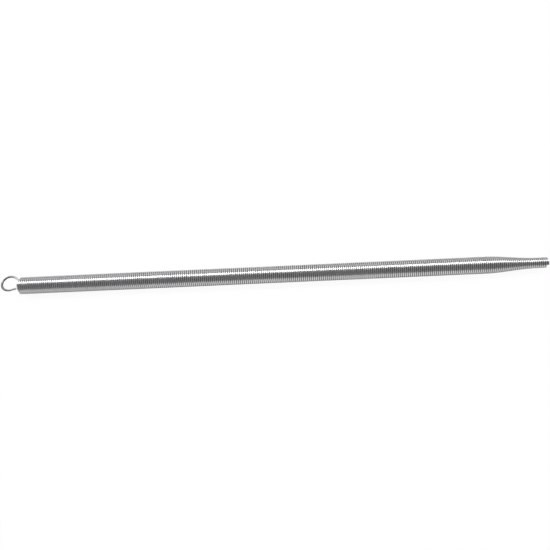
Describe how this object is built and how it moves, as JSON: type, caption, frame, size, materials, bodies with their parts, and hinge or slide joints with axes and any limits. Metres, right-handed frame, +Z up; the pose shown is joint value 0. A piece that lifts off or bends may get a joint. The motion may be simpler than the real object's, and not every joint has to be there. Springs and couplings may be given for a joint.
{
  "type": "pipe bending spring",
  "caption": "Close-wound steel spring with a round eye at one end and a tapered, narrower tip; it slides inside a tube to keep the tube round while it is bent.",
  "frame": {"origin": "on the surface that the spring lies on, under the middle of its length", "axes": "+X along the coil from the eye to the tapered tip, +Z up, the eye lies flat on top of the coil's eye end"},
  "size_m": [0.6022, 0.0206, 0.0189],
  "materials": {
    "spring_steel": "bright drawn spring steel wire, lightly oiled"
  },
  "bodies": {
    "root": {"bending_spring": "spring_steel"}
  },
  "joints": []
}
